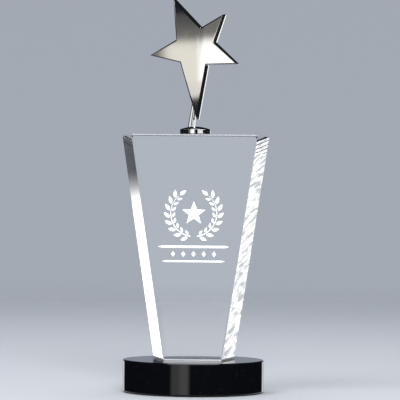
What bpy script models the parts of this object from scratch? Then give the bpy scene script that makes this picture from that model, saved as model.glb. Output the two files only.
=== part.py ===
"""Star trophy: a chrome star on a leaning post, a tapered crystal block and a black glass base.

Metres, +Z up. The origin is the middle of the underside, where the felt pad meets the
surface. The block's narrow engraved face looks along -Y. The star, its post and the
hardware are laid out in the figure's own frame, which is turned about the upright axis
of the mounting disc.
"""

import math

import bmesh
import bpy
from mathutils import Matrix, Vector

# Clearances
FIT_GAP = 0.0003  # between pieces that rest on each other
HARDWARE_GAP = 0.0002  # round a screw, a washer or a spigot
BOND_GAP = 0.0001  # between an adhesive film and the faces that it joins

# Felt pad and black glass base
PAD_INSET = 0.0045  # from the base's edge to the pad's
PAD_THICKNESS = 0.0005
BASE_RADIUS = 0.050
BASE_HEIGHT = 0.0224
BASE_EDGE = 0.0006

# Adhesive films
FILM_THICKNESS = 0.0002
FILM_MARGIN = 0.0015  # how far a film stops short of the edge of what it holds

# Crystal block: the front face is narrower than the back face
BLOCK_HEIGHT = 0.1587
BLOCK_THICKNESS = 0.035
BLOCK_BACK_WIDTH_TOP = 0.1057
BLOCK_BACK_WIDTH_FOOT = 0.0581
BLOCK_SIDE_BEVEL = 0.0086  # how much narrower the front is at each side
BLOCK_EDGE = 0.0008

# Domed mounting disc
DISC_RADIUS = 0.0109
DISC_RIM_HEIGHT = 0.0035
DISC_CROWN = 0.0021
DISC_EDGE = 0.0003

# Star figure
FIGURE_TURN = math.radians(-14.5)
STAR_CENTRE_X = 0.0015
STAR_TIP_CLEARANCE = 0.0058  # from the top of the disc's dome up to the star's lowest corner
STAR_THICKNESS = 0.008
STAR_EDGE = 0.00045  # how far the rounded front edge steps in
STAR_EDGE_DEPTH = 0.0007
NOTCH_RADIUS = 0.0142
STAR_POINTS = (  # reach of each point, its direction, and the direction of the notch after it
    (0.0374, 114.8, 156.7),
    (0.0324, 188.8, 224.2),
    (0.0494, 271.6, 305.2),
    (0.0318, 339.7, 375.9),
    (0.0306, 408.6, 432.6),
)

# Leaning post, with a spigot at its head
POST_LEAN = math.radians(6.5)
POST_FOOT_X = -0.0030
POST_FOOT_Y = 0.0020
POST_FOOT_RADIUS = 0.0029
POST_HEAD_RADIUS = 0.0017
POST_LENGTH = 0.0225
SPIGOT_RADIUS = 0.0012
SPIGOT_LENGTH = 0.005

# Lug on the star's back, which takes the spigot
LUG_RADIUS = 0.0034
LUG_LENGTH = 0.0085
LUG_STANDOFF = 0.0023  # from the star's back to the post's axis
LUG_EDGE = 0.0006

# Hardware
SCREW_RADIUS = 0.00125
SCREW_ENGAGEMENT = 0.0045
SCREW_HEAD_RIM = 0.00115  # how far the head stands out past the shank
SCREW_HEAD_HEIGHT = 0.0016
SCREW_HEX_RADIUS = 0.0010
WASHER_WIDTH = 0.00075  # from the washer's hole to its outside
WASHER_THICKNESS = 0.0006
WASHER_SPLIT = 0.0004
GRUB_RADIUS = 0.0010
GRUB_HEX_RADIUS = 0.0005

ROUND_STEPS = 96
SMALL_STEPS = 32

PAD_RADIUS = BASE_RADIUS - PAD_INSET

# Levels, from the surface up
BASE_BOTTOM = PAD_THICKNESS + FIT_GAP
BASE_TOP = BASE_BOTTOM + BASE_HEIGHT
BOND_SPACE = FILM_THICKNESS + 2 * BOND_GAP
BLOCK_BOTTOM = BASE_TOP + BOND_SPACE
BLOCK_TOP = BLOCK_BOTTOM + BLOCK_HEIGHT
DISC_BOTTOM = BLOCK_TOP + BOND_SPACE
DISC_TOP = DISC_BOTTOM + DISC_RIM_HEIGHT + DISC_CROWN

# The seat for the post is faced just below the dome where the foot's far side stands
SEAT_RADIUS = POST_FOOT_RADIUS + FIT_GAP
SEAT_REACH = math.hypot(POST_FOOT_X, POST_FOOT_Y) + SEAT_RADIUS
SEAT_TOP = DISC_TOP - DISC_CROWN * (SEAT_REACH / DISC_RADIUS) ** 2
POST_BOTTOM = SEAT_TOP + FIT_GAP

# The screw's head and washer sit in a counterbore that is wide and deep enough for both
BORE_RADIUS = SCREW_RADIUS + HARDWARE_GAP
SCREW_HEAD_RADIUS = SCREW_RADIUS + SCREW_HEAD_RIM
WASHER_RADIUS = BORE_RADIUS + WASHER_WIDTH
COUNTERBORE_RADIUS = max(SCREW_HEAD_RADIUS, WASHER_RADIUS) + FIT_GAP
COUNTERBORE_DEPTH = SCREW_HEAD_HEIGHT + WASHER_THICKNESS + 2 * HARDWARE_GAP + FIT_GAP
WASHER_TOP = DISC_BOTTOM + COUNTERBORE_DEPTH - HARDWARE_GAP
HEAD_TOP = WASHER_TOP - WASHER_THICKNESS - HARDWARE_GAP
SCREW_TOP = POST_BOTTOM + SCREW_ENGAGEMENT

# The star's back stands in front of the post's axis by the lug's standoff
STAR_BACK_Y = POST_FOOT_Y - LUG_STANDOFF
STAR_FRONT_Y = STAR_BACK_Y - STAR_THICKNESS
STAR_LOW_REACH = max(-reach * math.sin(math.radians(turn)) for reach, turn, _ in STAR_POINTS)
STAR_CENTRE_Z = DISC_TOP + STAR_TIP_CLEARANCE + STAR_LOW_REACH

PARTS = "star_trophy"
CUTTERS = "star_trophy_cutters"


def clear_scene():
    """Remove whatever objects and collections the file holds."""
    for obj in list(bpy.data.objects):
        bpy.data.objects.remove(obj, do_unlink=True)
    for collection in list(bpy.data.collections):
        bpy.data.collections.remove(collection)


def new_collection(name):
    collection = bpy.data.collections.new(name)
    bpy.context.scene.collection.children.link(collection)
    return collection


def finish(name, colour, roughness, metallic, **sockets):
    """A Principled material; the extra sockets are given by name with _ for spaces."""
    material = bpy.data.materials.new(name)
    material.use_nodes = True
    shader = material.node_tree.nodes["Principled BSDF"]
    shader.inputs["Base Color"].default_value = (*colour, 1.0)
    shader.inputs["Roughness"].default_value = roughness
    shader.inputs["Metallic"].default_value = metallic
    for socket, value in sockets.items():
        shader.inputs[socket.replace("_", " ")].default_value = value
    material.diffuse_color = (*colour, 1.0)
    return material


def add_object(name, bm, material, collection, parent=None):
    """Turn a bmesh into an object with outward faces."""
    bmesh.ops.recalc_face_normals(bm, faces=bm.faces)
    mesh = bpy.data.meshes.new(name)
    bm.to_mesh(mesh)
    bm.free()
    if material is not None:
        mesh.materials.append(material)
    obj = bpy.data.objects.new(name, mesh)
    obj.parent = parent
    collection.objects.link(obj)
    return obj


def shade_round(obj, angle=30):
    obj.data.shade_smooth()
    obj.data.set_sharp_from_angle(angle=math.radians(angle))


def turned(profile, steps=ROUND_STEPS):
    """Turn (radius, height) points about Z; a profile that starts and ends on the axis is solid."""
    bm = bmesh.new()
    verts = [bm.verts.new((radius, 0.0, height)) for radius, height in profile]
    edges = [bm.edges.new(pair) for pair in zip(verts, verts[1:])]
    bmesh.ops.spin(
        bm, geom=verts + edges, axis=(0, 0, 1), cent=(0, 0, 0), angle=math.tau, steps=steps
    )
    bmesh.ops.remove_doubles(bm, verts=bm.verts, dist=1e-6)
    return bm


def pin(radius, bottom, top, steps=SMALL_STEPS):
    """A plain round bar or hole from one height to another.

    It starts a third of a facet round, so that its corners fall between those of a turned
    piece on the same axis, and cuts between the two stay clean.
    """
    place = Matrix.Translation((0, 0, (bottom + top) / 2))
    bm = bmesh.new()
    bmesh.ops.create_cone(
        bm,
        cap_ends=True,
        segments=steps,
        radius1=radius,
        radius2=radius,
        depth=top - bottom,
        matrix=place @ Matrix.Rotation(math.tau / steps / 3, 4, "Z"),
    )
    return bm


def boolean(obj, cutter, operation):
    modifier = obj.modifiers.new(cutter.name, "BOOLEAN")
    modifier.object = cutter
    modifier.operation = operation
    modifier.solver = "EXACT"


def add_cutter(name, bm, collection, parent=None):
    cutter = add_object(name, bm, None, collection, parent)
    cutter.display_type = "WIRE"
    cutter.hide_render = True
    return cutter


def post_matrix():
    """From the post's own axis, foot at the origin, to the figure's frame."""
    foot = Matrix.Translation((POST_FOOT_X, POST_FOOT_Y, POST_BOTTOM))
    return foot @ Matrix.Rotation(POST_LEAN, 4, "Y")


def star_outline(grow=0.0):
    """The ten corners in the figure's XZ plane, moved outward by grow."""
    centre = Vector((STAR_CENTRE_X, STAR_CENTRE_Z))
    corners = []
    for reach, direction, notch in STAR_POINTS:
        for radius, angle in ((reach, direction), (NOTCH_RADIUS, notch)):
            turn = math.radians(angle)
            corners.append(centre + radius * Vector((math.cos(turn), math.sin(turn))))
    return [grown_corner(corners, index, grow) for index in range(len(corners))]


def grown_corner(corners, index, grow):
    """The corner where the two neighbouring edges meet once each has moved outward."""
    here = corners[index]
    before = (here - corners[index - 1]).normalized()
    after = (corners[(index + 1) % len(corners)] - here).normalized()
    normal_before = Vector((before.y, -before.x))
    normal_after = Vector((after.y, -after.x))
    middle = (normal_before + normal_after).normalized()
    return here + middle * (grow / middle.dot(normal_before))


def star_body():
    """The cast star: a flat back, upright sides and a stepped-in front edge."""
    levels = (
        (STAR_BACK_Y, STAR_EDGE),
        (STAR_FRONT_Y + STAR_EDGE_DEPTH, STAR_EDGE),
        (STAR_FRONT_Y, 0.0),
    )
    bm = bmesh.new()
    rings = []
    for y, grow in levels:
        outline = star_outline(grow)
        rings.append([bm.verts.new((point.x, y, point.y)) for point in outline])
    for back, front in zip(rings, rings[1:]):
        edges = []
        for ring in (back, front):
            for first, second in zip(ring, ring[1:] + ring[:1]):
                edge = bm.edges.get((first, second))
                edges.append(edge or bm.edges.new((first, second)))
        bmesh.ops.bridge_loops(bm, edges=edges)
    for ring in (rings[0], rings[-1]):
        bm.faces.new(ring)
    return bm


def make_felt_pad(parts):
    felt = finish("black_felt", (0.012, 0.012, 0.014), 0.95, 0.0)
    pad = add_object("felt_pad", pin(PAD_RADIUS, 0.0, PAD_THICKNESS, ROUND_STEPS), felt, parts)
    shade_round(pad)


def make_base_disc(parts):
    glass = finish("black_glass", (0.004, 0.004, 0.006), 0.04, 0.0)
    profile = (
        (0.0, BASE_TOP),
        (BASE_RADIUS - BASE_EDGE, BASE_TOP),
        (BASE_RADIUS, BASE_TOP - BASE_EDGE),
        (BASE_RADIUS, BASE_BOTTOM + BASE_EDGE),
        (BASE_RADIUS - BASE_EDGE, BASE_BOTTOM),
        (0.0, BASE_BOTTOM),
    )
    base = add_object("base_disc", turned(profile), glass, parts)
    shade_round(base)


def block_width(level, front):
    """The block's width at a height above its foot, at the front or the back face."""
    slope = (BLOCK_BACK_WIDTH_TOP - BLOCK_BACK_WIDTH_FOOT) / BLOCK_HEIGHT
    back = BLOCK_BACK_WIDTH_FOOT + slope * level
    return back - 2 * BLOCK_SIDE_BEVEL if front else back


def tapered_bm(half_depth, bottom, top, margin=0.0):
    """A cube whose eight corners are moved onto the block's tapered faces."""
    bm = bmesh.new()
    bmesh.ops.create_cube(bm, size=2.0)
    for vert in bm.verts:
        level = top if vert.co.z > 0 else bottom
        width = block_width(max(level - BLOCK_BOTTOM, 0.0), vert.co.y < 0)
        vert.co.x *= width / 2 - margin
        vert.co.y *= half_depth - margin
        vert.co.z = level
    return bm


def make_crystal_block(parts):
    crystal = finish("clear_crystal", (1.0, 1.0, 1.0), 0.0, 0.0, IOR=1.52, Transmission_Weight=1.0)
    bm = tapered_bm(BLOCK_THICKNESS / 2, BLOCK_BOTTOM, BLOCK_TOP)
    block = add_object("crystal_block", bm, crystal, parts)
    bevel = block.modifiers.new("polished_edges", "BEVEL")
    bevel.width = BLOCK_EDGE
    bevel.segments = 1
    bevel.limit_method = "ANGLE"
    bevel.angle_limit = math.radians(30)


def make_base_bond(parts, adhesive):
    bottom = BASE_TOP + BOND_GAP
    bm = tapered_bm(BLOCK_THICKNESS / 2, bottom, bottom + FILM_THICKNESS, FILM_MARGIN)
    add_object("base_bond", bm, adhesive, parts)


def make_disc_bond(parts, adhesive, figure, counterbore):
    """A ring of adhesive that leaves the counterbore open."""
    bottom = BLOCK_TOP + BOND_GAP
    film = pin(DISC_RADIUS - FILM_MARGIN, bottom, bottom + FILM_THICKNESS, ROUND_STEPS)
    bond = add_object("disc_bond", film, adhesive, parts, figure)
    boolean(bond, counterbore, "DIFFERENCE")


def make_mount_disc(parts, chrome, figure, cutters):
    """The domed disc, faced for the post's foot and counterbored for the screw."""
    crown_steps = 10
    profile = []
    for step in range(crown_steps + 1):
        radius = (DISC_RADIUS - DISC_EDGE) * step / crown_steps
        profile.append((radius, DISC_TOP - DISC_CROWN * (radius / DISC_RADIUS) ** 2))
    profile += [
        (DISC_RADIUS, DISC_BOTTOM + DISC_RIM_HEIGHT - DISC_EDGE),
        (DISC_RADIUS, DISC_BOTTOM + DISC_EDGE),
        (DISC_RADIUS - DISC_EDGE, DISC_BOTTOM),
        (0.0, DISC_BOTTOM),
    ]
    disc = add_object("mount_disc", turned(profile), chrome, parts, figure)
    shade_round(disc)
    for cutter in cutters:
        boolean(disc, cutter, "DIFFERENCE")


def disc_cutters(holder, figure):
    """The post's seat, the screw's clearance hole and its counterbore."""
    above = DISC_CROWN + FIT_GAP
    holes = {
        "seat_cutter": (SEAT_RADIUS, SEAT_TOP, SEAT_TOP + above),
        "clearance_hole_cutter": (BORE_RADIUS, DISC_BOTTOM - FIT_GAP, SEAT_TOP + above / 2),
        "counterbore_cutter": (
            COUNTERBORE_RADIUS,
            BLOCK_TOP - FIT_GAP,
            DISC_BOTTOM + COUNTERBORE_DEPTH,
        ),
    }
    cutters = {}
    for name, (radius, bottom, top) in holes.items():
        cutter = add_cutter(name, pin(radius, bottom, top), holder, figure)
        cutter.location = (POST_FOOT_X, POST_FOOT_Y, 0.0)
        cutters[name] = cutter
    return cutters


def make_star_post(parts, holder, chrome, figure):
    """A turned taper with a spigot, cut level at the foot and tapped from below."""
    below = POST_FOOT_RADIUS * math.tan(POST_LEAN) * 2
    flare = (POST_FOOT_RADIUS - POST_HEAD_RADIUS) / POST_LENGTH
    profile = (
        (0.0, POST_LENGTH + SPIGOT_LENGTH),
        (SPIGOT_RADIUS, POST_LENGTH + SPIGOT_LENGTH),
        (SPIGOT_RADIUS, POST_LENGTH),
        (POST_HEAD_RADIUS, POST_LENGTH),
        (POST_FOOT_RADIUS + flare * below, -below),
        (0.0, -below),
    )
    bm = turned(profile, SMALL_STEPS * 2)
    bmesh.ops.transform(bm, matrix=post_matrix(), verts=bm.verts)
    cut = bmesh.ops.bisect_plane(
        bm,
        geom=bm.verts[:] + bm.edges[:] + bm.faces[:],
        plane_co=(0, 0, POST_BOTTOM),
        plane_no=(0, 0, -1),
        clear_outer=True,
    )
    rim = [item for item in cut["geom_cut"] if isinstance(item, bmesh.types.BMEdge)]
    bmesh.ops.holes_fill(bm, edges=rim, sides=0)
    post = add_object("star_post", bm, chrome, parts, figure)
    shade_round(post)
    tapped = pin(BORE_RADIUS, POST_BOTTOM - FIT_GAP, SCREW_TOP + HARDWARE_GAP)
    tapped_hole = add_cutter("tapped_hole_cutter", tapped, holder, figure)
    tapped_hole.location = (POST_FOOT_X, POST_FOOT_Y, 0.0)
    boolean(post, tapped_hole, "DIFFERENCE")


def make_post_screw(parts, holder, steel, figure):
    """The socket screw that draws the post down onto its seat."""
    head_bottom = HEAD_TOP - SCREW_HEAD_HEIGHT
    tip = SCREW_RADIUS / 3
    profile = (
        (0.0, SCREW_TOP),
        (SCREW_RADIUS - tip, SCREW_TOP),
        (SCREW_RADIUS, SCREW_TOP - tip),
        (SCREW_RADIUS, HEAD_TOP),
        (SCREW_HEAD_RADIUS, HEAD_TOP),
        (SCREW_HEAD_RADIUS, head_bottom + tip / 2),
        (SCREW_HEAD_RADIUS - tip / 2, head_bottom),
        (0.0, head_bottom),
    )
    screw = add_object("post_screw", turned(profile, SMALL_STEPS), steel, parts, figure)
    screw.location = (POST_FOOT_X, POST_FOOT_Y, 0.0)
    shade_round(screw)
    hex_depth = SCREW_HEAD_HEIGHT * 0.6
    hexagon = pin(SCREW_HEX_RADIUS, head_bottom - FIT_GAP, head_bottom + hex_depth, 6)
    socket = add_cutter("screw_hex_cutter", hexagon, holder, figure)
    socket.location = screw.location
    boolean(screw, socket, "DIFFERENCE")


def make_lock_washer(parts, holder, steel, figure):
    """A split spring washer between the screw's head and the counterbore."""
    bottom = WASHER_TOP - WASHER_THICKNESS
    profile = (
        (WASHER_RADIUS, WASHER_TOP),
        (WASHER_RADIUS, bottom),
        (BORE_RADIUS, bottom),
        (BORE_RADIUS, WASHER_TOP),
        (WASHER_RADIUS, WASHER_TOP),
    )
    washer = add_object("lock_washer", turned(profile, SMALL_STEPS), steel, parts, figure)
    washer.location = (POST_FOOT_X, POST_FOOT_Y, 0.0)
    shade_round(washer)
    slot = bmesh.new()
    bmesh.ops.create_cube(slot, size=1.0)
    bmesh.ops.scale(slot, vec=(WASHER_RADIUS, WASHER_SPLIT, WASHER_THICKNESS * 4), verts=slot.verts)
    bmesh.ops.rotate(slot, matrix=Matrix.Rotation(math.radians(25), 3, "X"), verts=slot.verts)
    middle = (WASHER_RADIUS + BORE_RADIUS) / 2
    bmesh.ops.translate(slot, vec=(middle, 0, bottom + WASHER_THICKNESS / 2), verts=slot.verts)
    split = add_cutter("washer_split_cutter", slot, holder, figure)
    split.location = washer.location
    boolean(washer, split, "DIFFERENCE")


def make_star_figure(parts, holder, chrome, figure):
    """The star with a lug on its back, bored for the spigot and tapped for the grub screw."""
    star = add_object("star_figure", star_body(), chrome, parts, figure)
    lug_bottom = POST_LENGTH + FIT_GAP
    lug_top = lug_bottom + LUG_LENGTH
    profile = (
        (0.0, lug_top + LUG_EDGE),
        (LUG_RADIUS - 2 * LUG_EDGE, lug_top + LUG_EDGE),
        (LUG_RADIUS, lug_top - LUG_EDGE),
        (LUG_RADIUS, lug_bottom + LUG_EDGE),
        (LUG_RADIUS - LUG_EDGE, lug_bottom),
        (0.0, lug_bottom),
    )
    lug = turned(profile, SMALL_STEPS)
    bmesh.ops.transform(lug, matrix=post_matrix(), verts=lug.verts)
    boolean(star, add_cutter("lug_form", lug, holder, figure), "UNION")
    socket_radius = SPIGOT_RADIUS + HARDWARE_GAP
    socket_top = POST_LENGTH + SPIGOT_LENGTH + FIT_GAP
    socket = pin(socket_radius, POST_LENGTH - FIT_GAP, socket_top)
    bmesh.ops.transform(socket, matrix=post_matrix(), verts=socket.verts)
    boolean(star, add_cutter("spigot_socket_cutter", socket, holder, figure), "DIFFERENCE")
    hole = pin(GRUB_RADIUS + HARDWARE_GAP, 0.0, LUG_RADIUS * 2)
    bmesh.ops.transform(hole, matrix=grub_matrix(), verts=hole.verts)
    boolean(star, add_cutter("grub_hole_cutter", hole, holder, figure), "DIFFERENCE")
    shade_round(star)


def grub_matrix():
    """From an upright pin to one that enters the lug squarely from behind, half way up the spigot."""
    middle = Matrix.Translation((0, 0, POST_LENGTH + FIT_GAP + SPIGOT_LENGTH / 2))
    return post_matrix() @ middle @ Matrix.Rotation(math.radians(-90), 4, "X")


def make_grub_screw(parts, holder, steel, figure):
    """The set screw that locks the spigot in the lug."""
    inner = SPIGOT_RADIUS + HARDWARE_GAP
    outer = LUG_RADIUS - HARDWARE_GAP
    tip = GRUB_RADIUS / 3
    profile = (
        (0.0, outer),
        (GRUB_RADIUS, outer),
        (GRUB_RADIUS, inner + tip),
        (GRUB_RADIUS - tip, inner),
        (0.0, inner),
    )
    bm = turned(profile, SMALL_STEPS)
    bmesh.ops.transform(bm, matrix=grub_matrix(), verts=bm.verts)
    grub = add_object("grub_screw", bm, steel, parts, figure)
    shade_round(grub)
    hexagon = pin(GRUB_HEX_RADIUS, outer - (outer - inner) / 2, outer + HARDWARE_GAP, 6)
    bmesh.ops.transform(hexagon, matrix=grub_matrix(), verts=hexagon.verts)
    boolean(grub, add_cutter("grub_hex_cutter", hexagon, holder, figure), "DIFFERENCE")


def main():
    clear_scene()
    parts = new_collection(PARTS)
    holder = new_collection(CUTTERS)
    figure = bpy.data.objects.new("figure_axis", None)
    figure.rotation_euler.z = FIGURE_TURN
    parts.objects.link(figure)
    chrome = finish("polished_chrome", (0.72, 0.71, 0.68), 0.08, 1.0)
    steel = finish("zinc_plated_steel", (0.55, 0.55, 0.57), 0.35, 1.0)
    adhesive = finish("clear_adhesive", (0.9, 0.92, 0.95), 0.1, 0.0, Transmission_Weight=1.0)
    make_felt_pad(parts)
    make_base_disc(parts)
    make_base_bond(parts, adhesive)
    make_crystal_block(parts)
    cutters = disc_cutters(holder, figure)
    make_disc_bond(parts, adhesive, figure, cutters["counterbore_cutter"])
    make_mount_disc(parts, chrome, figure, cutters.values())
    make_star_post(parts, holder, chrome, figure)
    make_post_screw(parts, holder, steel, figure)
    make_lock_washer(parts, holder, steel, figure)
    make_star_figure(parts, holder, chrome, figure)
    make_grub_screw(parts, holder, steel, figure)


main()
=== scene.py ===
"""The looks of the star trophy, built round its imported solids.

Metres, +Z up, in the frame of the solids: the origin is the middle of the felt's underside
and the block's engraved face looks along -Y. The star, the post, the disc and the hardware
are laid out in the figure's own frame, which is turned about the upright axis of the disc.
"""

import math

import bmesh
import bpy
from mathutils import Matrix, Vector, noise


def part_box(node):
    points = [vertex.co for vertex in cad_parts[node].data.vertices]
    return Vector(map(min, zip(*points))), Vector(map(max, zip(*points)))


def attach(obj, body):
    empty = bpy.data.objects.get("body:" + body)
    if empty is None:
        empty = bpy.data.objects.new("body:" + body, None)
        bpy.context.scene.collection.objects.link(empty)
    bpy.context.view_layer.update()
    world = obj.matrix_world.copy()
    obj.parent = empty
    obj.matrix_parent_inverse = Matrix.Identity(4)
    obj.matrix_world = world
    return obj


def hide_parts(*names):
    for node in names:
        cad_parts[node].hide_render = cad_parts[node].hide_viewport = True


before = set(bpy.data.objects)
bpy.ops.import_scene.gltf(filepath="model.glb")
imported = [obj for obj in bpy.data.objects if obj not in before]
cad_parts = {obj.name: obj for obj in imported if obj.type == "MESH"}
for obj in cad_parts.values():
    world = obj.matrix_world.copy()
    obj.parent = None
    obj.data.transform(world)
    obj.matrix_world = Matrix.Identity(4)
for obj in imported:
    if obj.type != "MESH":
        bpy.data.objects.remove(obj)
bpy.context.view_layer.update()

BODY = "root"

# Clearances left between pieces
FIT_GAP = 0.0003
HARDWARE_GAP = 0.0002
BOND_GAP = 0.0001

# Felt pad
FELT_RIM = 0.0002  # radius of the pad's soft edge
FELT_RAGGED = 0.00006  # how far the cut edge strays
FELT_STRAYS = 900  # how close together the strays are
FELT_RIM_REACH = 0.02  # how far in from the edge the rim's outline starts

# Black glass base
BASE_CHAMFER = 0.0007
BASE_SOFTENING = 0.0002

# Crystal block: widths at the back face, and how much narrower the front is at each side
BLOCK_WIDTH_TOP = 0.1057
BLOCK_WIDTH_FOOT = 0.0581
BLOCK_SIDE_BEVEL = 0.0086
BLOCK_CHAMFER = 0.0008
BLOCK_ARRIS = 0.00008  # softening where a chamfer meets a face
FOOT_CHAMFER_SLOPES = (-0.9, -0.3)  # Z of the outward directions of the foot's chamfers

# Engraving, cut into the front face
ENGRAVING_DEPTH = 0.0004
WREATH_HEIGHT = 0.1268
WREATH_RADIUS = 0.0162
WREATH_LEAVES = 8  # pairs of leaves on each branch
WREATH_START = math.radians(-82)  # of the right-hand branch, from the level
WREATH_STRIDE = math.radians(16.5)  # from one pair of leaves to the next
FIRST_LEAF = 0.35  # strides from the stem's start to its first pair
LAST_LEAF = math.radians(2)  # past the stem's end
LEAF_LENGTH = 0.0058
LEAF_WIDTH = 0.0027
LEAF_FULLNESS = 0.85  # below 1, a leaf is widest nearer its base
LEAF_STEPS = 6
INNER_LEAF = 0.7  # the inner leaves' size as a share of the outer ones'
LEAF_SPREAD = math.radians(38)
STEM_WIDTH = 0.0009
STEM_TAPER = 0.6  # the share of its width that the stem loses by its end
STEM_STEPS = 28
EMBLEM_RADIUS = 0.0088
EMBLEM_NOTCH = 0.0037
RULES = (  # height above the floor, length and thickness of each engraved bar
    (0.1034, 0.0510, 0.0018),
    (0.0932, 0.0450, 0.0014),
)
STUDS = 5
STUD_HEIGHT = 0.0983
STUD_SPACING = 0.0072
STUD_RADIUS = 0.0021
STUD_NOTCH = 0.72  # its waist as a share of its radius

# Glue
FILM_SQUEEZE = 0.0004  # how far the disc film's edge wanders
DISC_FILM_INSET = 0.0008
GLUE_BEAD = 0.00062  # height of the bead round the block's foot
GLUE_BEAD_INSET = 0.00012
GLUE_WAVES = 160  # how close together the waves of a film's edge are
FOOT_STEPS = 24  # points along each side of the block's foot

# Domed mounting disc
DISC_CROWN = 0.0021
DISC_SOFTENING = 0.0004

# Figure: its turn about the upright axis, and the leaning post
FIGURE_TURN = math.radians(-14.5)
POST_LEAN = math.radians(6.5)
POST_FOOT = Vector((-0.0030, 0.0020))
POST_FOOT_RADIUS = 0.0029
POST_HEAD_RADIUS = 0.0017
POST_LENGTH = 0.0225
POST_SOFTENING = 0.0003
SPIGOT_RADIUS = 0.0012
SPIGOT_LENGTH = 0.005
TO_FIGURE = Matrix.Rotation(FIGURE_TURN, 4, "Z")
AT_FOOT = Matrix.Translation((*POST_FOOT, 0))

# Star: a domed front with a rolled edge, upright sides and a flat back
STAR_THICKNESS = 0.008
STAR_EDGE = 0.00045  # how far the sides stand out past the front face's corners
STAR_EDGE_DEPTH = 0.0008
STAR_ROLL_IN = 0.0004  # how far the rolled edge runs in over the front face
STAR_BACK_RIM = 0.0004
STAR_DOME = 0.0020  # rise of the dome over its reach
STAR_DOME_REACH = 0.045
STAR_DOME_SINK = 0.0008  # how far the dome's rim lies behind the solid's front
STAR_SIDE_SWELL = 0.00017  # how far the sides bulge half way back
STAR_FRONT_DEPTH = 0.00001  # points this near the solid's front belong to its front face
TIP_RADIUS = 0.00025  # round the sides; the front face's tips are sharper
TIP_LEAST = 0.00004
NOTCH_FILLET = 0.0008
CORNER_STEPS = 6
SIDE_SPACING = 0.0016  # between points along a side
FOLD_SLOPE = 0.045  # how steeply the face falls back to the right of the fold
FOLD_WIDTH = 0.0022
FOLD_DEPTH = 0.00005  # of the crease along the fold, at the top notch
FOLD_LENGTH = 0.030
FOLD_FADE = 0.8  # the share of its depth that the crease loses over that length
BACK_STEPS = 4  # rings round the star's back rim, up its side, over its edge and in to its hub
SIDE_STEPS = 6
ROLL_STEPS = 7
FACE_STEPS = 30

# Lug on the star's back
LUG_RADIUS = 0.0034
LUG_LENGTH = 0.0085
LUG_SOFTENING = 0.0006
GRUB_RADIUS = 0.0010
GRUB_HEX_RADIUS = 0.0005
GRUB_PITCH = 0.0004

# Socket screw under the disc
SCREW_RADIUS = 0.00125
SCREW_PITCH = 0.00045
SCREW_ENGAGEMENT = 0.0045
SCREW_HEAD_RIM = 0.00115
SCREW_HEAD_HEIGHT = 0.0016
SCREW_HEX_RADIUS = 0.0010
WASHER_THICKNESS = 0.0006

# Camera
CAMERA_DISTANCE = 1.84
CAMERA_HEIGHT = 0.138
CAMERA_TURN = math.radians(1.57)  # round the object, towards +X
CAMERA_ROLL = math.radians(0.5)
CAMERA_LENS = 233.6
SENSOR_WIDTH = 36.0
AIM_ASIDE = 0.0038  # how far to the right of the upright axis the camera looks
AIM_HEIGHT = 0.1362

# Studio
FLOOR_RADIUS = 9.0
FLOOR_CLEAR = 0.45  # the floor is whole out to here
FLOOR_GONE = 2.4  # and has faded into the backdrop here
BACKDROP_LOW = (0.37, 0.40, 0.45)
BACKDROP_HIGH = (0.27, 0.31, 0.38)
THROUGH_LOW = (0.44, 0.475, 0.53)  # the backdrop as the crystal gathers it
THROUGH_HIGH = (0.33, 0.37, 0.45)
ROOM_DARK = (0.010, 0.011, 0.014)
LAMPS = (  # name, place, size and power
    ("key", (-0.9, -1.1, 1.6), 1.0, 16.0),
    ("front", (0.25, -1.7, 0.75), 0.7, 27.0),
    ("top", (0.0, 0.5, 1.8), 1.4, 12.0),
)
LAMP_AIM = Vector((0, 0, 0.1))

# Panels that polished faces reflect, in degrees: left, right and their blur, bottom, top and
# a blur for each, and colour. Azimuth is from straight in front, positive to the right; for the
# rear and far ones it is from straight behind. Far ones show through the crystal's sides.
FRONT_PANELS = (
    (-180.0, 180.0, 0.1, -95.0, -46.0, 1.0, 8.0, (0.20, 0.205, 0.215)),
    (-50.0, 2.0, 4.0, -3.0, 9.2, 0.4, 0.5, (0.085, 0.085, 0.087)),
    (-26.0, 2.0, 4.0, -3.0, 10.6, 0.4, 1.0, (0.17, 0.168, 0.163)),
    (-50.0, 2.0, 4.0, -3.0, 6.8, 0.4, 3.5, (0.16, 0.155, 0.15)),
    (-36.6, -5.5, 3.0, -3.0, 4.4, 0.4, 2.0, (0.86, 0.84, 0.77)),
    (-27.0, -5.5, 4.0, -3.0, 4.4, 0.4, 2.0, (1.25, 1.25, 1.25)),
    (-34.5, -6.0, 7.0, -5.6, -2.8, 0.4, 0.4, (0.80, 0.79, 0.74)),
    (-20.0, -7.0, 11.0, -5.6, -2.8, 0.4, 0.4, (1.25, 1.25, 1.25)),
    (-10.0, 60.0, 3.0, 3.6, 17.0, 1.0, 3.0, (1.05, 1.05, 1.05)),
    (-98.0, -43.0, 3.0, 7.2, 15.0, 1.0, 3.0, (1.05, 1.05, 1.05)),
    (20.0, 60.0, 3.0, -3.2, 4.0, 0.4, 1.0, (0.95, 0.95, 0.97)),
    (55.0, 125.0, 3.0, -3.2, 0.3, 0.4, 0.8, (0.95, 0.95, 0.97)),
    (56.0, 80.0, 3.0, 9.0, 27.0, 2.0, 2.0, (4.0, 4.0, 4.1)),
    (-180.0, 180.0, 0.1, 68.0, 95.0, 3.0, 1.0, (3.0, 3.1, 3.2)),
)
REAR_PANELS = (
    (-50.0, 50.0, 6.0, -95.0, -10.5, 1.0, 3.0, (0.33, 0.34, 0.36)),
    (-24.0, 24.0, 3.0, -20.0, 9.0, 2.0, 7.0, (0.33, 0.36, 0.42)),
    (12.0, 26.0, 2.0, -14.0, 2.6, 1.0, 0.6, (1.3, 1.32, 1.36)),
    (-29.0, -15.0, 2.0, -14.0, -3.1, 1.0, 0.5, (1.3, 1.32, 1.36)),
)
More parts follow.
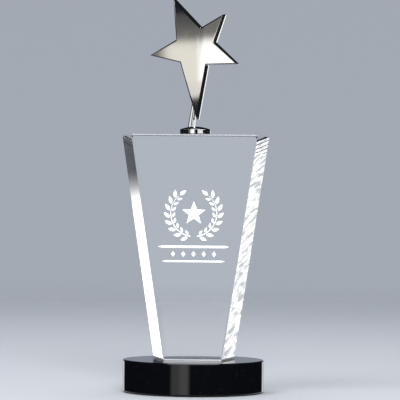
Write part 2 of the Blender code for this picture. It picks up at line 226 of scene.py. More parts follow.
FAR_PANELS = (
    (46.0, 84.0, 3.0, 6.0, 30.0, 2.0, 4.0, (0.06, 0.063, 0.07)),
    (50.0, 80.0, 3.0, -2.0, 8.08, 1.0, 1.2, (2.4, 2.4, 2.4)),
)
STREAKED_PANEL = (-84.0, -46.0, 3.0, -2.0, 14.0, 1.0, 1.5)
STREAK_ACROSS = 160.0  # units to a degree of azimuth
STREAK_UP = 85.0  # and to a degree of elevation
STREAK_WIDTH = 7.0  # in those units
STREAK_LENGTH = 34.0
SAW_LINES_FROM = 8.68  # the dark lines are all above this elevation
SAW_LINE_SPACING = 7.5
SAW_LINE_WIDTH = 0.2  # as a share of the spacing

# How finely round pieces and threads are divided
ROUND_STEPS = 192
SMALL_STEPS = 96
THREAD_STEPS = 48
THREAD_RINGS = 10  # rings to each turn of a thread


# Outlines


def arc(corner, before, after, radius, steps):
    """Points round a corner of that radius, from one of its sides to the other."""
    to_before = (before - corner).normalized()
    to_after = (after - corner).normalized()
    half = to_before.angle(to_after) / 2
    middle = (to_before + to_after).normalized()
    centre = corner + middle * (radius / math.sin(half))
    start = corner + to_before * (radius / math.tan(half)) - centre
    end = corner + to_after * (radius / math.tan(half)) - centre
    sweep = math.atan2(start.x * end.y - start.y * end.x, start.dot(end))
    turns = (Matrix.Rotation(sweep * step / steps, 2) for step in range(steps + 1))
    return [centre + turn @ start for turn in turns]


def softened(profile, radius, steps=4):
    """An open line of (x, y) points with every inner corner rounded."""
    points = [Vector(point) for point in profile]
    line = [points[0]]
    for before, corner, after in zip(points, points[1:], points[2:]):
        line += arc(corner, before, after, radius, steps)
    return line + [points[-1]]


def ring(radius, height, steps, turn=0.0):
    """Points of a level circle about Z."""
    angles = (turn + math.tau * step / steps for step in range(steps))
    return [Vector((radius * math.cos(a), radius * math.sin(a), height)) for a in angles]


# Meshes


def join_rings(bm, lower, upper):
    """Faces between two rings of corners; a ring of one corner is a closed end."""
    count = max(len(lower), len(upper))
    for index in range(count):
        after = (index + 1) % count
        if len(lower) == 1:
            bm.faces.new((lower[0], upper[index], upper[after]))
        elif len(upper) == 1:
            bm.faces.new((lower[index], lower[after], upper[0]))
        else:
            bm.faces.new((lower[index], lower[after], upper[after], upper[index]))


def skin(rings, capped=False):
    """A closed surface over rings of points, with flat ends if capped."""
    bm = bmesh.new()
    corners = [[bm.verts.new(point) for point in points] for points in rings]
    for lower, upper in zip(corners, corners[1:]):
        join_rings(bm, lower, upper)
    if capped:
        bm.faces.new(corners[0])
        bm.faces.new(corners[-1])
    return bm


def turned(profile, steps):
    """Turn (radius, height) points about Z; the line starts and ends on the axis."""
    rings = [[Vector((0, 0, profile[0][1]))]]
    rings += [ring(radius, height, steps) for radius, height in profile[1:-1]]
    rings += [[Vector((0, 0, profile[-1][1]))]]
    return skin(rings)


def prism(outline, near, far):
    """A bar with that outline in the XZ plane, from one Y to another."""
    levels = (near, far)
    return skin([[Vector((point[0], y, point[1])) for point in outline] for y in levels], True)


def pin(radius, bottom, top, steps=SMALL_STEPS):
    """A plain round bar about Z; its corners fall between those of a turned piece."""
    turn = math.tau / steps / 3
    return skin([ring(radius, height, steps, turn) for height in (bottom, top)], True)


def moved(bm, matrix):
    """The same bmesh after a move."""
    bmesh.ops.transform(bm, matrix=matrix, verts=bm.verts)
    return bm


def new_form(name, bm, finishes=()):
    """An object with outward faces, in the frame of the solids."""
    bmesh.ops.recalc_face_normals(bm, faces=bm.faces)
    mesh = bpy.data.meshes.new(name)
    bm.to_mesh(mesh)
    bm.free()
    for finish in finishes:
        mesh.materials.append(finish)
    form = bpy.data.objects.new(name, mesh)
    bpy.context.scene.collection.objects.link(form)
    return form


def settle(form):
    """Turn the form's modifiers into plain mesh."""
    view = bpy.context.evaluated_depsgraph_get()
    mesh = bpy.data.meshes.new_from_object(form.evaluated_get(view))
    form.modifiers.clear()
    form.data = mesh


def combine(form, tool_bm, operation="DIFFERENCE", finish=None, crossed=False):
    """Cut a tool's shape from a form, or join it on; new faces take the tool's finish.

    Crossed is for a tool whose own parts run into each other.
    """
    tool = new_form("tool", tool_bm, (finish,) if finish else ())
    step = form.modifiers.new("combine", "BOOLEAN")
    step.object = tool
    step.operation = operation
    step.solver = "EXACT"
    step.use_self = crossed
    step.material_mode = "TRANSFER" if finish else "INDEX"
    settle(form)
    bpy.data.objects.remove(tool)


def shade(form, sharp=32):
    """Smooth shading that keeps flat faces flat and real corners sharp."""
    form.data.shade_smooth()
    form.data.set_sharp_from_angle(angle=math.radians(sharp))
    weigh = form.modifiers.new("weigh", "WEIGHTED_NORMAL")
    weigh.keep_sharp = True
    settle(form)


def hand_in(form, node):
    """The finished piece stands for a solid and rides with the trophy; the solid is hidden."""
    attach(form, BODY)
    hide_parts(node)


# Shader nodes


def add_node(tree, kind, **settings):
    """A new node with those settings."""
    made = tree.nodes.new(kind)
    for name, value in settings.items():
        setattr(made, name, value)
    return made


def feed(tree, made, **inputs):
    """Set a node's inputs by name, _ for a space, to values or to other nodes' outputs."""
    for name, value in inputs.items():
        socket = made.inputs[name.replace("_", " ")]
        if isinstance(value, bpy.types.NodeSocket):
            tree.links.new(value, socket)
        else:
            socket.default_value = value
    return made


def maths(tree, operation, *values, clamp=False):
    """A Math node on values or outputs; returns its output."""
    made = add_node(tree, "ShaderNodeMath", operation=operation, use_clamp=clamp)
    for socket, value in zip(made.inputs, values):
        if isinstance(value, bpy.types.NodeSocket):
            tree.links.new(value, socket)
        else:
            socket.default_value = value
    return made.outputs[0]


def remap(tree, value, low, high, to_low=0.0, to_high=1.0, smooth=False):
    """Map a value from one range to another; returns the output."""
    kind = "SMOOTHSTEP" if smooth else "LINEAR"
    made = add_node(tree, "ShaderNodeMapRange", interpolation_type=kind)
    feed(tree, made, Value=value, From_Min=low, From_Max=high, To_Min=to_low, To_Max=to_high)
    return made.outputs["Result"]


def blend_colours(tree, mask, first, second):
    """Mix two colours by a mask; returns the output."""
    made = add_node(tree, "ShaderNodeMix", data_type="RGBA")
    for index, value in ((0, mask), (6, first), (7, second)):
        if isinstance(value, bpy.types.NodeSocket):
            tree.links.new(value, made.inputs[index])
        elif isinstance(value, tuple):
            made.inputs[index].default_value = (*value, 1.0)
        else:
            made.inputs[index].default_value = value
    return made.outputs[2]


def blotches(tree, place, size, detail=3.0, rough=0.55, distortion=0.0):
    """Noise with features of about that size in metres; returns the output."""
    made = add_node(tree, "ShaderNodeTexNoise")
    feed(tree, made, Vector=place, Scale=1 / size, Detail=detail, Roughness=rough)
    feed(tree, made, Distortion=distortion)
    return made.outputs["Fac"]


def new_group(name, inputs, outputs):
    """A shader node group of float inputs and outputs, with its two end nodes."""
    group = bpy.data.node_groups.new(name, "ShaderNodeTree")
    for label, value in inputs:
        socket = group.interface.new_socket(label, in_out="INPUT", socket_type="NodeSocketFloat")
        socket.default_value = value
    for label in outputs:
        group.interface.new_socket(label, in_out="OUTPUT", socket_type="NodeSocketFloat")
    given = group.nodes.new("NodeGroupInput").outputs
    result = group.nodes.new("NodeGroupOutput").inputs
    return group, given, result


def place_group(tree, group, **inputs):
    """A node group with those inputs; returns its outputs."""
    made = add_node(tree, "ShaderNodeGroup", node_tree=group)
    return feed(tree, made, **inputs).outputs


def surface_place(tree):
    """Where a point lies on the piece, in metres; returns the output."""
    return add_node(tree, "ShaderNodeTexCoord").outputs["Object"]


def polish_group():
    """Fine buffing lines and slow unevenness left by the polishing wheel."""
    inputs = (("Line size", 0.0002), ("Run", 12.0), ("Patch size", 0.02))
    group, given, result = new_group("buffing", inputs, ("Lines", "Patches"))
    place = surface_place(group)
    run = add_node(group, "ShaderNodeCombineXYZ")
    feed(group, run, X=maths(group, "DIVIDE", 1.0, given["Run"]), Y=1.0, Z=1.0)
    stretch = add_node(group, "ShaderNodeVectorMath", operation="MULTIPLY")
    group.links.new(place, stretch.inputs[0])
    group.links.new(run.outputs[0], stretch.inputs[1])
    lines = add_node(group, "ShaderNodeTexNoise")
    fine = maths(group, "DIVIDE", 1.0, given["Line size"])
    feed(group, lines, Vector=stretch.outputs[0], Scale=fine, Detail=2.0, Roughness=0.6)
    patches = add_node(group, "ShaderNodeTexNoise")
    slow = maths(group, "DIVIDE", 1.0, given["Patch size"])
    feed(group, patches, Vector=place, Scale=slow, Detail=2.0, Roughness=0.5)
    group.links.new(lines.outputs["Fac"], result["Lines"])
    group.links.new(patches.outputs["Fac"], result["Patches"])
    return group


def wear_and_glint_group():
    """A mask of the outer edges, broken up in patches: real wear on the steel and the black glass,
    a painted glint on the chrome.
    """
    inputs = (("Start", 0.52), ("End", 0.6), ("Break size", 0.002))
    group, given, result = new_group("edge_wear_and_glint", inputs, ("Mask",))
    bend = add_node(group, "ShaderNodeNewGeometry").outputs["Pointiness"]
    edges = remap(group, bend, given["Start"], given["End"])
    broken = add_node(group, "ShaderNodeTexNoise")
    scale = maths(group, "DIVIDE", 1.0, given["Break size"])
    feed(group, broken, Vector=surface_place(group), Scale=scale, Detail=4.0, Roughness=0.6)
    patchy = remap(group, broken.outputs["Fac"], 0.35, 0.65)
    group.links.new(maths(group, "MULTIPLY", edges, patchy, clamp=True), result["Mask"])
    return group


def dust_group():
    """A mask of fine specks, most on faces that look up."""
    inputs = (("Speck size", 0.0006), ("Amount", 0.3))
    group, given, result = new_group("dust", inputs, ("Mask",))
    up = add_node(group, "ShaderNodeSeparateXYZ")
    facing = add_node(group, "ShaderNodeNewGeometry").outputs["Normal"]
    group.links.new(facing, up.inputs[0])
    level = remap(group, up.outputs["Z"], -0.2, 0.9, 0.15, 1.0)
    cells = add_node(group, "ShaderNodeTexVoronoi", feature="F1")
    scale = maths(group, "DIVIDE", 1.0, given["Speck size"])
    feed(group, cells, Vector=surface_place(group), Scale=scale, Randomness=1.0)
    specks = remap(group, cells.outputs["Distance"], 0.08, 0.22, 1.0, 0.0)
    chosen = add_node(group, "ShaderNodeSeparateColor")
    group.links.new(cells.outputs["Color"], chosen.inputs[0])
    kept = maths(group, "LESS_THAN", chosen.outputs[0], given["Amount"])
    mask = maths(group, "MULTIPLY", maths(group, "MULTIPLY", specks, kept), level)
    group.links.new(mask, result["Mask"])
    return group


def smudge_group():
    """Faint patches where hands have touched a polished face."""
    inputs = (("Patch size", 0.018), ("Start", 0.5), ("End", 0.75))
    group, given, result = new_group("smudges", inputs, ("Mask",))
    place = surface_place(group)
    patch = add_node(group, "ShaderNodeTexNoise")
    scale = maths(group, "DIVIDE", 1.0, given["Patch size"])
    feed(group, patch, Vector=place, Scale=scale, Detail=5.0, Roughness=0.5, Distortion=0.8)
    area = remap(group, patch.outputs["Fac"], given["Start"], given["End"])
    ridges = add_node(group, "ShaderNodeTexWave", bands_direction="DIAGONAL")
    fine = maths(group, "MULTIPLY", scale, 14.0)
    feed(group, ridges, Vector=place, Scale=fine, Distortion=6.0, Detail=2.0)
    lined = remap(group, ridges.outputs["Fac"], 0.0, 1.0, 0.6, 1.0)
    group.links.new(maths(group, "MULTIPLY", area, lined), result["Mask"])
    return group


def make_groups():
    """The effects that several finishes share."""
    return {
        "buffing": polish_group(),
        "wear_and_glint": wear_and_glint_group(),
        "dust": dust_group(),
        "smudges": smudge_group(),
    }


# Finishes


def new_finish(name, **uniform):
    """A material and its shader, with the values that are the same all over."""
    finish = bpy.data.materials.new(name)
    finish.use_nodes = True
    tree = finish.node_tree
    shader = tree.nodes["Principled BSDF"]
    for socket, value in uniform.items():
        shader.inputs[socket.replace("_", " ")].default_value = value
    return finish, tree, shader


def bump(tree, shader, height, depth):
    """Relief of that depth in metres from a height between 0 and 1."""
    made = add_node(tree, "ShaderNodeBump")
    feed(tree, made, Height=height, Distance=depth, Strength=1.0)
    tree.links.new(made.outputs["Normal"], shader.inputs["Normal"])


def plated_finish(groups, name, colour, gloss, line_depth):
    """Polished chrome plate: buffing lines, thumbed patches and a painted glint that brightens the
    sharp edges.
    """
    finish, tree, shader = new_finish(name, Metallic=1.0)
    buffing = place_group(tree, groups["buffing"], Line_size=0.00025, Run=14.0, Patch_size=0.012)
    smudges = place_group(tree, groups["smudges"], Patch_size=0.009, Start=0.52, End=0.8)
    wear_and_glint = place_group(tree, groups["wear_and_glint"], Start=0.55, End=0.7, Break_size=0.0015)
    dust = place_group(tree, groups["dust"], Speck_size=0.0013, Amount=0.02)
    tone = blend_colours(tree, buffing["Patches"], colour, tuple(0.94 * c for c in colour))
    # painted glint: the mask of sharp edges and tips lifts the chrome's colour there to stand in
    # for the highlights they catch
    tone = blend_colours(tree, wear_and_glint["Mask"], tone, (0.96, 0.96, 0.96))
    tone = blend_colours(tree, dust["Mask"], tone, (0.66, 0.65, 0.63))
    tree.links.new(tone, shader.inputs["Base Color"])
    rough = remap(tree, buffing["Lines"], 0.3, 0.7, gloss * 0.9, gloss * 1.1)
    rough = maths(tree, "ADD", rough, maths(tree, "MULTIPLY", smudges["Mask"], 0.04))
    rough = maths(tree, "ADD", rough, maths(tree, "MULTIPLY", dust["Mask"], 0.15))
    tree.links.new(rough, shader.inputs["Roughness"])
    bump(tree, shader, buffing["Lines"], line_depth)
    return finish


def steel_finish(groups):
    """Zinc-plated steel of the hidden screws, dull with a faint spangle."""
    finish, tree, shader = new_finish("zinc_steel", Metallic=1.0)
    place = surface_place(tree)
    spangle = blotches(tree, place, 0.0007, 3.0)
    wear_and_glint = place_group(tree, groups["wear_and_glint"], Start=0.53, End=0.62, Break_size=0.0006)
    buffing = place_group(tree, groups["buffing"], Line_size=0.00008, Run=8.0, Patch_size=0.002)
    tone = blend_colours(tree, spangle, (0.46, 0.47, 0.50), (0.62, 0.62, 0.63))
    tone = blend_colours(tree, wear_and_glint["Mask"], tone, (0.80, 0.80, 0.80))
    tree.links.new(tone, shader.inputs["Base Color"])
    rough = remap(tree, buffing["Patches"], 0.3, 0.7, 0.26, 0.42)
    tree.links.new(rough, shader.inputs["Roughness"])
    bump(tree, shader, buffing["Lines"], 0.000004)
    return finish


def crystal_finish(groups):
    """Optical glass, polished clear, with a trace of dust and finger marks."""
    finish, tree, shader = new_finish(
        "optical_crystal", Metallic=0.0, Transmission_Weight=1.0, IOR=1.52
    )
    smudges = place_group(tree, groups["smudges"], Patch_size=0.022, Start=0.6, End=0.9)
    dust = place_group(tree, groups["dust"], Speck_size=0.0016, Amount=0.03)
    tone = blend_colours(tree, smudges["Mask"], (1.0, 1.0, 1.0), (0.985, 0.99, 0.995))
    tone = blend_colours(tree, dust["Mask"], tone, (0.90, 0.91, 0.92))
    tree.links.new(tone, shader.inputs["Base Color"])
    haze = maths(tree, "MULTIPLY", smudges["Mask"], 0.012)
    haze = maths(tree, "ADD", haze, maths(tree, "MULTIPLY", dust["Mask"], 0.25))
    tree.links.new(haze, shader.inputs["Roughness"])
    return finish


def frost_finish():
    """The sandblasted floor of the engraving: white, matt and finely pitted."""
    finish, tree, shader = new_finish(
        "sandblasted_crystal", Metallic=0.0, Transmission_Weight=0.0, IOR=1.52
    )
    place = surface_place(tree)
    pits = blotches(tree, place, 0.00018, 3.0, 0.7)
    cloud = blotches(tree, place, 0.006, 2.0)
    tone = blend_colours(tree, cloud, (0.93, 0.95, 0.97), (1.0, 1.0, 1.0))
    tree.links.new(tone, shader.inputs["Base Color"])
    tree.links.new(remap(tree, pits, 0.3, 0.7, 0.5, 0.75), shader.inputs["Roughness"])
    bump(tree, shader, pits, 0.00006)
    return finish


def black_glass_finish(groups):
    """Black glass, deeply polished, with fine dust on top and hairline rubs at the edge."""
    finish, tree, shader = new_finish("black_glass_polished", Metallic=0.0, IOR=1.5)
    smudges = place_group(tree, groups["smudges"], Patch_size=0.016, Start=0.5, End=0.85)
    dust = place_group(tree, groups["dust"], Speck_size=0.0013, Amount=0.07)
    wear_and_glint = place_group(tree, groups["wear_and_glint"], Start=0.56, End=0.7, Break_size=0.001)
    tone = blend_colours(tree, wear_and_glint["Mask"], (0.0022, 0.0026, 0.0036), (0.05, 0.05, 0.055))
    tone = blend_colours(tree, dust["Mask"], tone, (0.16, 0.16, 0.17))
    tree.links.new(tone, shader.inputs["Base Color"])
    rough = maths(tree, "MULTIPLY_ADD", smudges["Mask"], 0.05, 0.025)
    rough = maths(tree, "ADD", rough, maths(tree, "MULTIPLY", dust["Mask"], 0.4))
    tree.links.new(rough, shader.inputs["Roughness"])
    return finish


def glue_finish(groups):
    """Clear cured glue with a few fine bubbles."""
    finish, tree, shader = new_finish(
        "clear_glue", Metallic=0.0, Transmission_Weight=0.35, IOR=1.5
    )
    dust = place_group(tree, groups["dust"], Speck_size=0.0012, Amount=0.25)
    place = surface_place(tree)
    ripple = blotches(tree, place, 0.004, 2.0)
    tone = blend_colours(tree, dust["Mask"], (0.93, 0.94, 0.95), (0.75, 0.78, 0.82))
    tree.links.new(tone, shader.inputs["Base Color"])
    tree.links.new(remap(tree, ripple, 0.3, 0.7, 0.06, 0.16), shader.inputs["Roughness"])
    bump(tree, shader, ripple, 0.00004)
    return finish


def felt_finish(groups):
    """Black wool felt: matted fibres, a little lint and a soft sheen."""
    finish, tree, shader = new_finish("black_felt", Metallic=0.0, Sheen_Weight=0.35)
    place = surface_place(tree)
    fibres = blotches(tree, place, 0.00035, 6.0, 0.75, 1.2)
    clumps = blotches(tree, place, 0.004, 3.0)
    lint = place_group(tree, groups["dust"], Speck_size=0.0018, Amount=0.06)
    tone = blend_colours(tree, fibres, (0.006, 0.006, 0.007), (0.030, 0.030, 0.033))
    tone = blend_colours(tree, maths(tree, "MULTIPLY", clumps, 0.35), tone, (0.018, 0.018, 0.02))
    tone = blend_colours(tree, lint["Mask"], tone, (0.12, 0.12, 0.12))
    tree.links.new(tone, shader.inputs["Base Color"])
    tree.links.new(remap(tree, fibres, 0.2, 0.8, 0.85, 1.0), shader.inputs["Roughness"])
    bump(tree, shader, fibres, 0.00012)
    return finish


# Felt, base and glue


def make_felt(felt):
    """The die-cut pad, with a soft, slightly ragged edge."""
    low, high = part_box("felt_pad")
    radius = high.x - FELT_RAGGED
    inside = radius - FELT_RIM_REACH
    rim = ((inside, low.z), (radius, low.z), (radius, high.z), (inside, high.z))
    profile = softened(rim, FELT_RIM)
    rings = [[Vector((0, 0, low.z))]]
    for reach, height in profile:
        circle = ring(reach, height, ROUND_STEPS)
        rings.append([frayed(point, low, high) for point in circle])
    rings.append([Vector((0, 0, high.z))])
    pad = new_form("felt_disc", skin(rings), (felt,))
    shade(pad, 60)
    hand_in(pad, "felt_pad")


def frayed(point, low, high):
    """The point moved in or out a little, as the felt's cut edge strays."""
    stray = FELT_RAGGED * noise.noise(point * FELT_STRAYS)
    reach = math.hypot(point.x, point.y)
    return Vector((*(point.xy * (1 + stray / reach)), min(max(point.z, low.z), high.z)))


def make_base(black_glass):
    """The thick glass disc: flat top, upright side and a narrow polished chamfer."""
    low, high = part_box("base_disc")
    radius = high.x
    corners = (
        (radius * 0.5, high.z),
        (radius - BASE_CHAMFER, high.z),
        (radius, high.z - BASE_CHAMFER),
        (radius, low.z + BASE_CHAMFER),
        (radius - BASE_CHAMFER, low.z),
        (radius * 0.5, low.z),
    )
    profile = [(0, high.z), *softened(corners, BASE_SOFTENING), (0, low.z)]
    base = new_form("polished_base", turned(profile, ROUND_STEPS), (black_glass,))
    shade(base)
    hand_in(base, "base_disc")


def wandering(point, reach):
    """The point moved in a little by slow waves, as squeezed glue spreads."""
    wave = noise.noise(Vector((point.x, point.y, 0)) * GLUE_WAVES)
    return point * (1 - reach * (1 + wave) / 2 / point.length)


def foot_outline(inset):
    """Points round the block's foot, each side moved in by inset."""
    low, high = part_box("crystal_block")
    front = BLOCK_WIDTH_FOOT / 2 - BLOCK_SIDE_BEVEL - inset
    back = BLOCK_WIDTH_FOOT / 2 - inset
    near = low.y + inset
    far = high.y - inset
    corners = [(-front, near), (front, near), (back, far), (-back, far)]
    outline = []
    for start, end in zip(corners, corners[1:] + corners[:1]):
        shares = (step / FOOT_STEPS for step in range(FOOT_STEPS))
        outline += [Vector(start).lerp(Vector(end), share) for share in shares]
    return outline


def make_block_glue(glue):
    """The film under the block, with the bead that has squeezed out below the chamfer."""
    low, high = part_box("base_bond")
    profile = (
        (GLUE_BEAD_INSET, low.z),
        (GLUE_BEAD_INSET / 2, low.z + GLUE_BEAD / 3),
        (GLUE_BEAD_INSET * 2, low.z + GLUE_BEAD * 0.8),
        (BLOCK_CHAMFER / 2, low.z + GLUE_BEAD),
        (BLOCK_CHAMFER, high.z + BOND_GAP / 2),
    )
    rings = []
    for inset, height in profile:
        edge = [wandering(point, GLUE_BEAD_INSET) for point in foot_outline(inset)]
        rings.append([Vector((*point, height)) for point in edge])
    bond = new_form("block_glue", skin(rings, capped=True), (glue,))
    shade(bond)
    hand_in(bond, "base_bond")


# Crystal block and its engraving


def block_corners():
    """The block's eight corners: a slab whose front is narrower than its back, wider at the top."""
    low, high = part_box("crystal_block")
    corners = []
    for height, width in ((low.z, BLOCK_WIDTH_FOOT), (high.z, BLOCK_WIDTH_TOP)):
        back = width / 2
        front = back - BLOCK_SIDE_BEVEL
        spots = ((-front, low.y), (front, low.y), (back, high.y), (-back, high.y))
        corners.append([Vector((x, y, height)) for x, y in spots])
    return corners


def leaf_outline(base, heading, size=1.0):
    """A pointed leaf that grows from base along heading."""
    along = Vector((math.cos(heading), math.sin(heading)))
    across = Vector((-along.y, along.x))
    right = []
    left = []
    for step in range(1, LEAF_STEPS):
        share = step / LEAF_STEPS
        half = size * LEAF_WIDTH / 2 * math.sin(math.pi * share ** LEAF_FULLNESS)
        middle = base + along * size * LEAF_LENGTH * share
        right.append(middle - across * half)
        left.append(middle + across * half)
    return [base, *right, base + along * size * LEAF_LENGTH, *reversed(left)]


def star_polygon(centre, reach, notch, points=5):
    """An upright star; with two points it is a lozenge."""
    corners = []
    for index in range(2 * points):
        turn = math.pi / 2 + math.pi * index / points
        radius = notch if index % 2 else reach
        corners.append(centre + radius * Vector((math.cos(turn), math.sin(turn))))
    return corners


def bar_outline(height, length, thickness):
    """A level rule with pointed ends."""
    half = length / 2
    shoulder = half - thickness * 2
    top = height + thickness / 2
    foot = height - thickness / 2
    return [
        Vector((-half, height)),
        Vector((-shoulder, foot)),
        Vector((shoulder, foot)),
        Vector((half, height)),
        Vector((shoulder, top)),
        Vector((-shoulder, top)),
    ]


def stem_outline(centre, start, end):
    """A curved stem between two directions from the wreath's centre, thinner at its end."""
    outer = []
    inner = []
    for step in range(STEM_STEPS + 1):
        turn = start + (end - start) * step / STEM_STEPS
        half = STEM_WIDTH / 2 * (1 - STEM_TAPER * step / STEM_STEPS)
        spoke = Vector((math.cos(turn), math.sin(turn)))
        outer.append(centre + spoke * (WREATH_RADIUS + half))
        inner.append(centre + spoke * (WREATH_RADIUS - half))
    return outer + inner[::-1]


def wreath_branch(centre):
    """One branch, on the right: a stem with a pair of leaves at each step and one at its tip."""
    end = WREATH_START + WREATH_STRIDE * WREATH_LEAVES
    shapes = [stem_outline(centre, WREATH_START, end)]
    for index in range(WREATH_LEAVES):
        turn = WREATH_START + WREATH_STRIDE * (index + FIRST_LEAF)
        spoke = Vector((math.cos(turn), math.sin(turn)))
        heading = turn + math.pi / 2
        outer = centre + spoke * (WREATH_RADIUS + STEM_WIDTH)
        inner = centre + spoke * (WREATH_RADIUS - STEM_WIDTH)
        shapes.append(leaf_outline(outer, heading - LEAF_SPREAD))
        shapes.append(leaf_outline(inner, heading + LEAF_SPREAD, INNER_LEAF))
    tip = end + LAST_LEAF
    spoke = Vector((math.cos(tip), math.sin(tip)))
    shapes.append(leaf_outline(centre + spoke * WREATH_RADIUS, tip + math.pi / 2))
    return shapes


def engraved_shapes():
    """Every outline of the motif: a wreath round a star, over rules and a row of studs."""
    centre = Vector((0.0, WREATH_HEIGHT))
    branch = wreath_branch(centre)
    mirrored = [[Vector((-point.x, point.y)) for point in shape] for shape in branch]
    shapes = branch + mirrored
    shapes.append(star_polygon(centre, EMBLEM_RADIUS, EMBLEM_NOTCH))
    shapes += [bar_outline(*rule) for rule in RULES]
    for index in range(STUDS):
        spot = Vector(((index - (STUDS - 1) / 2) * STUD_SPACING, STUD_HEIGHT))
        shapes.append(star_polygon(spot, STUD_RADIUS, STUD_RADIUS * STUD_NOTCH, 2))
    return shapes


def make_block(crystal, frost):
    """The polished slab, ground at its foot, with the sandblasted motif let into its front."""
    rings = block_corners()
    block = new_form("cut_crystal", skin(rings, capped=True), (crystal, frost))
    for width, steps in ((BLOCK_CHAMFER, 1), (BLOCK_ARRIS, 2)):
        chamfer = block.modifiers.new("chamfer", "BEVEL")
        chamfer.width = width
        chamfer.segments = steps
        chamfer.limit_method = "ANGLE"
        chamfer.angle_limit = math.radians(20)
        settle(block)
    front = rings[0][0].y
    floor = rings[0][0].z
    flattest, steepest = FOOT_CHAMFER_SLOPES
    for face in block.data.polygons:
        low_down = face.center.z < floor + BLOCK_CHAMFER
        if low_down and flattest < face.normal.z < steepest:
            face.material_index = 1
    tool = bmesh.new()
    for outline in engraved_shapes():
        part = prism(outline, front - ENGRAVING_DEPTH, front + ENGRAVING_DEPTH)
        bmesh.ops.recalc_face_normals(part, faces=part.faces)
        mesh = bpy.data.meshes.new("motif")
        part.to_mesh(mesh)
        part.free()
        tool.from_mesh(mesh)
        bpy.data.meshes.remove(mesh)
    combine(block, tool, finish=frost, crossed=True)
    hand_in(block, "crystal_block")


# Disc, post and hardware, in the figure's frame


def post_matrix():
    """From the post's own axis, foot at the origin, to the figure's frame."""
    foot = Matrix.Translation((*POST_FOOT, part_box("star_post")[0].z))
    return foot @ Matrix.Rotation(POST_LEAN, 4, "Y")


def make_disc(chrome):
    """The domed disc, with the post's seat faced on top and the screw's counterbore below."""
    low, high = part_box("mount_disc")
    radius = high.x
    crown_base = high.z - DISC_CROWN
    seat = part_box("star_post")[0].z - FIT_GAP
    steps = 24
    crown = []
    for step in range(1, steps + 1):
        reach = (radius - DISC_SOFTENING / 2) * step / steps
        crown.append((reach, high.z - DISC_CROWN * (reach / radius) ** 2))
    side = [(radius, crown_base), (radius, low.z), (radius * 0.6, low.z)]
    edge = softened([crown[-2], *side], DISC_SOFTENING, 5)
    profile = [(0, high.z), *crown[:-2], *edge, (0, low.z)]
    disc = new_form("domed_disc", moved(turned(profile, ROUND_STEPS), TO_FIGURE), (chrome,))
    head = SCREW_RADIUS + SCREW_HEAD_RIM + FIT_GAP
    depth = SCREW_HEAD_HEIGHT + WASHER_THICKNESS + 2 * HARDWARE_GAP + FIT_GAP
    holes = (
        pin(POST_FOOT_RADIUS + FIT_GAP, seat, high.z + FIT_GAP),
        pin(SCREW_RADIUS + HARDWARE_GAP, low.z - FIT_GAP, seat + FIT_GAP),
        pin(head, low.z - FIT_GAP, low.z + depth),
    )
    for hole in holes:
        combine(disc, moved(hole, TO_FIGURE @ AT_FOOT))
    shade(disc)
    hand_in(disc, "mount_disc")


def make_disc_glue(glue):
    """The ring of glue under the disc, open at the counterbore."""
    low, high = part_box("disc_bond")
    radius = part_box("mount_disc")[1].x - DISC_FILM_INSET
    bore = SCREW_RADIUS + SCREW_HEAD_RIM + FIT_GAP
    outer = [wandering(point.xy, FILM_SQUEEZE) for point in ring(radius, 0, SMALL_STEPS)]
    inner = [point.xy + POST_FOOT for point in ring(bore, 0, SMALL_STEPS)]
    middle = (low.z + high.z) / 2
    waist = [point * (1 - (high.z - low.z) / point.length) for point in outer]
    levels = ((outer, high.z), (waist, middle), (outer, low.z), (inner, low.z), (inner, high.z))
    rings = [[Vector((*point, height)) for point in edge] for edge, height in levels]
    bm = bmesh.new()
    corners = [[bm.verts.new(point) for point in points] for points in rings]
    for near, far in zip(corners, corners[1:] + corners[:1]):
        join_rings(bm, near, far)
    bond = new_form("disc_glue", moved(bm, TO_FIGURE), (glue,))
    shade(bond)
    hand_in(bond, "disc_bond")


def make_post(chrome):
    """The leaning taper, cut level at the foot, bored from below, with a spigot at its head."""
    below = POST_FOOT_RADIUS * math.tan(POST_LEAN) * 2
    flare = (POST_FOOT_RADIUS - POST_HEAD_RADIUS) / POST_LENGTH
    top = POST_LENGTH + SPIGOT_LENGTH
    corners = (
        (SPIGOT_RADIUS / 2, top),
        (SPIGOT_RADIUS, top),
        (SPIGOT_RADIUS, POST_LENGTH),
        (POST_HEAD_RADIUS, POST_LENGTH),
        (POST_FOOT_RADIUS + flare * below, -below),
    )
    profile = [(0, top), *softened(corners, POST_SOFTENING / 2), (0, -below)]
    bm = moved(turned(profile, SMALL_STEPS), post_matrix())
    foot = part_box("star_post")[0].z
    cut = bmesh.ops.bisect_plane(
        bm,
        geom=bm.verts[:] + bm.edges[:] + bm.faces[:],
        plane_co=(0, 0, foot),
        plane_no=(0, 0, -1),
        clear_outer=True,
    )
    rim = [item for item in cut["geom_cut"] if isinstance(item, bmesh.types.BMEdge)]
    bmesh.ops.holes_fill(bm, edges=rim, sides=0)
    post = new_form("turned_post", moved(bm, TO_FIGURE), (chrome,))
    depth = foot + SCREW_ENGAGEMENT + HARDWARE_GAP
    bore = pin(SCREW_RADIUS + HARDWARE_GAP, foot - FIT_GAP, depth)
    combine(post, moved(bore, TO_FIGURE @ AT_FOOT))
    shade(post)
    hand_in(post, "star_post")


def threaded(radius, pitch, bottom, top):
    """Rings of a thread about Z, from bottom to top, with a ridge that climbs one pitch a turn."""
    depth = pitch * 0.5
    count = max(2, round((top - bottom) / pitch * THREAD_RINGS))
    rings = []
    for index in range(count + 1):
        height = bottom + (top - bottom) * index / count
        points = []
        for step in range(THREAD_STEPS):
            turn = step / THREAD_STEPS
            phase = (height / pitch - turn) % 1.0
            groove = 1 - abs(2 * phase - 1)
            reach = radius - depth * min(max(1.6 * groove - 0.3, 0), 1)
            angle = math.tau * turn
            points.append(Vector((reach * math.cos(angle), reach * math.sin(angle), height)))
        rings.append(points)
    return rings


